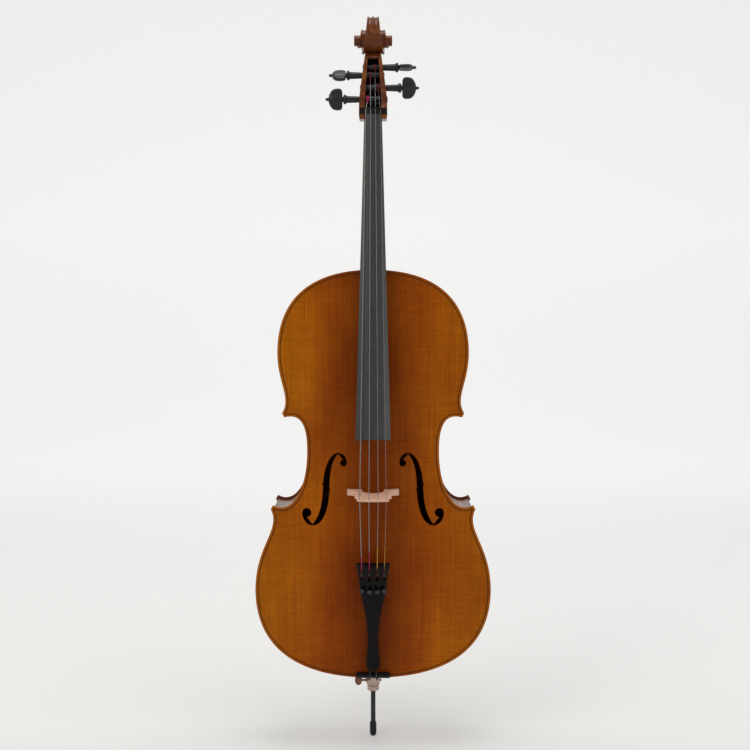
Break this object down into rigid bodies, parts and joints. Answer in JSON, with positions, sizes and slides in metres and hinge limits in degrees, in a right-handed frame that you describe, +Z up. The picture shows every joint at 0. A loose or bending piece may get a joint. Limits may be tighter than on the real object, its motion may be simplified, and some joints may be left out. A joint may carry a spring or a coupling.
{
  "type": "cello",
  "caption": "Full-size cello with f-holes, arched plates, scroll, turning pegs, bridge, tailpiece with built-in fine tuners and a sliding endpin.",
  "frame": {"origin": "bottom of the endpin's rubber tip, on the endpin's axis", "axes": "+Z up along the body, front (strings) towards -Y, treble side towards +X"},
  "size_m": [0.435, 0.2625, 1.358],
  "materials": {
    "spruce_varnished": "orange-brown varnish, gloss",
    "maple_varnished": "red-brown varnish, gloss",
    "spruce_plain": "bare, matt",
    "maple_plain": "bare, fine sanded",
    "purfling": "three-ply, varnished over",
    "ebony": "polished by hand, satin",
    "string_metal": "flat-wound, satin",
    "silk": "thread wrapping",
    "tailpiece_black": "gloss",
    "tuner_metal": "black nickel",
    "cord": "braided look, matt",
    "nickel": "polished",
    "rod_steel": "blackened",
    "rubber": "matt",
    "thumb_brown": "satin"
  },
  "bodies": {
    "cello_body": {"back_bass": "maple_varnished", "back_treble": "maple_varnished", "bass_bar": "spruce_plain", "bridge": "maple_plain", "corner_block_lower_bass": "spruce_plain", "corner_block_lower_treble": "spruce_plain", "corner_block_upper_bass": "spruce_plain", "corner_block_upper_treble": "spruce_plain", "end_block": "spruce_plain", "endpin_collar": "nickel", "endpin_plug": "ebony", "endpin_set_screw": "rod_steel", "fingerboard": "ebony", "linings_back": "spruce_plain", "linings_front": "spruce_plain", "neck_block": "spruce_plain", "neck_scroll": "maple_varnished", "nut": "ebony", "purfling_back": "purfling", "purfling_front": "purfling", "rib_lower_bass": "maple_varnished", "rib_lower_treble": "maple_varnished", "rib_upper_bass": "maple_varnished", "rib_upper_treble": "maple_varnished", "rib_waist_bass": "maple_varnished", "rib_waist_treble": "maple_varnished", "saddle": "ebony", "sound_post": "spruce_plain", "string_a": "string_metal", "string_c": "string_metal", "string_d": "string_metal", "string_g": "string_metal", "tail_cord": "cord", "tailpiece": "tailpiece_black", "top_bass": "spruce_varnished", "top_treble": "spruce_varnished", "tuner_pivot_pin": "tuner_metal"},
    "peg_c_body": {"peg_c": "ebony", "string_winding_c": "silk"},
    "peg_g_body": {"peg_g": "ebony", "string_winding_g": "silk"},
    "peg_d_body": {"peg_d": "ebony", "string_winding_d": "silk"},
    "peg_a_body": {"peg_a": "ebony", "string_winding_a": "silk"},
    "tuner_lever_c_body": {"tuner_lever_c": "tuner_metal", "string_ball_c": "string_metal"},
    "tuner_screw_c_body": {"tuner_screw_c": "tuner_metal"},
    "tuner_lever_g_body": {"tuner_lever_g": "tuner_metal", "string_ball_g": "string_metal"},
    "tuner_screw_g_body": {"tuner_screw_g": "tuner_metal"},
    "tuner_lever_d_body": {"tuner_lever_d": "tuner_metal", "string_ball_d": "string_metal"},
    "tuner_screw_d_body": {"tuner_screw_d": "tuner_metal"},
    "tuner_lever_a_body": {"tuner_lever_a": "tuner_metal", "string_ball_a": "string_metal"},
    "tuner_screw_a_body": {"tuner_screw_a": "tuner_metal"},
    "endpin_body": {"endpin_rod": "rod_steel", "endpin_tip": "rubber"},
    "thumbscrew_body": {"endpin_thumbscrew": "thumb_brown"}
  },
  "joints": [
    {"name": "peg_c_turn", "type": "hinge", "parent": "cello_body", "child": "peg_c_body", "pos_m": [0, -0.0205, 1.1985], "axis": [-1, 0, 0], "continuous": true},
    {"name": "peg_g_turn", "type": "hinge", "parent": "cello_body", "child": "peg_g_body", "pos_m": [0, -0.0025, 1.245], "axis": [-1, 0, 0], "continuous": true},
    {"name": "peg_d_turn", "type": "hinge", "parent": "cello_body", "child": "peg_d_body", "pos_m": [0, 0.003, 1.2605], "axis": [1, 0, 0], "continuous": true},
    {"name": "peg_a_turn", "type": "hinge", "parent": "cello_body", "child": "peg_a_body", "pos_m": [0, -0.013, 1.2205], "axis": [1, 0, 0], "continuous": true},
    {"name": "tuner_screw_c_turn", "type": "hinge", "parent": "cello_body", "child": "tuner_screw_c_body", "pos_m": [-0.0204, -0.12032, 0.31117], "axis": [0, 0.9578, 0.2874], "range_deg": [0, 1440]},
    {"name": "tuner_lever_c_tilt", "type": "hinge", "parent": "cello_body", "child": "tuner_lever_c_body", "pos_m": [-0.0204, -0.12004, 0.33632], "axis": [1, 0, 0], "range_deg": [0, 4.81]},
    {"name": "tuner_screw_g_turn", "type": "hinge", "parent": "cello_body", "child": "tuner_screw_g_body", "pos_m": [-0.0066, -0.12032, 0.31117], "axis": [0, 0.9578, 0.2874], "range_deg": [0, 1440]},
    {"name": "tuner_lever_g_tilt", "type": "hinge", "parent": "cello_body", "child": "tuner_lever_g_body", "pos_m": [-0.0066, -0.12004, 0.33632], "axis": [1, 0, 0], "range_deg": [0, 4.81]},
    {"name": "tuner_screw_d_turn", "type": "hinge", "parent": "cello_body", "child": "tuner_screw_d_body", "pos_m": [0.0074, -0.12032, 0.31117], "axis": [0, 0.9578, 0.2874], "range_deg": [0, 1440]},
    {"name": "tuner_lever_d_tilt", "type": "hinge", "parent": "cello_body", "child": "tuner_lever_d_body", "pos_m": [0.0074, -0.12004, 0.33632], "axis": [1, 0, 0], "range_deg": [0, 4.81]},
    {"name": "tuner_screw_a_turn", "type": "hinge", "parent": "cello_body", "child": "tuner_screw_a_body", "pos_m": [0.0204, -0.12032, 0.31117], "axis": [0, 0.9578, 0.2874], "range_deg": [0, 1440]},
    {"name": "tuner_lever_a_tilt", "type": "hinge", "parent": "cello_body", "child": "tuner_lever_a_body", "pos_m": [0.0204, -0.12004, 0.33632], "axis": [1, 0, 0], "range_deg": [0, 4.81]},
    {"name": "endpin_slide", "type": "slide", "parent": "cello_body", "child": "endpin_body", "axis": [0, 0, -1], "range_m": [-0.058, 0.28]},
    {"name": "thumbscrew_turn", "type": "hinge", "parent": "cello_body", "child": "thumbscrew_body", "pos_m": [-0.02, 0, 0.1075], "axis": [1, 0, 0], "range_deg": [0, 720]}
  ],
  "couplings": [
    {"joint": "tuner_lever_c_tilt", "follows": "tuner_screw_c_turn", "ratio": 0.0033333},
    {"joint": "tuner_lever_g_tilt", "follows": "tuner_screw_g_turn", "ratio": 0.0033333},
    {"joint": "tuner_lever_d_tilt", "follows": "tuner_screw_d_turn", "ratio": 0.0033333},
    {"joint": "tuner_lever_a_tilt", "follows": "tuner_screw_a_turn", "ratio": 0.0033333}
  ]
}
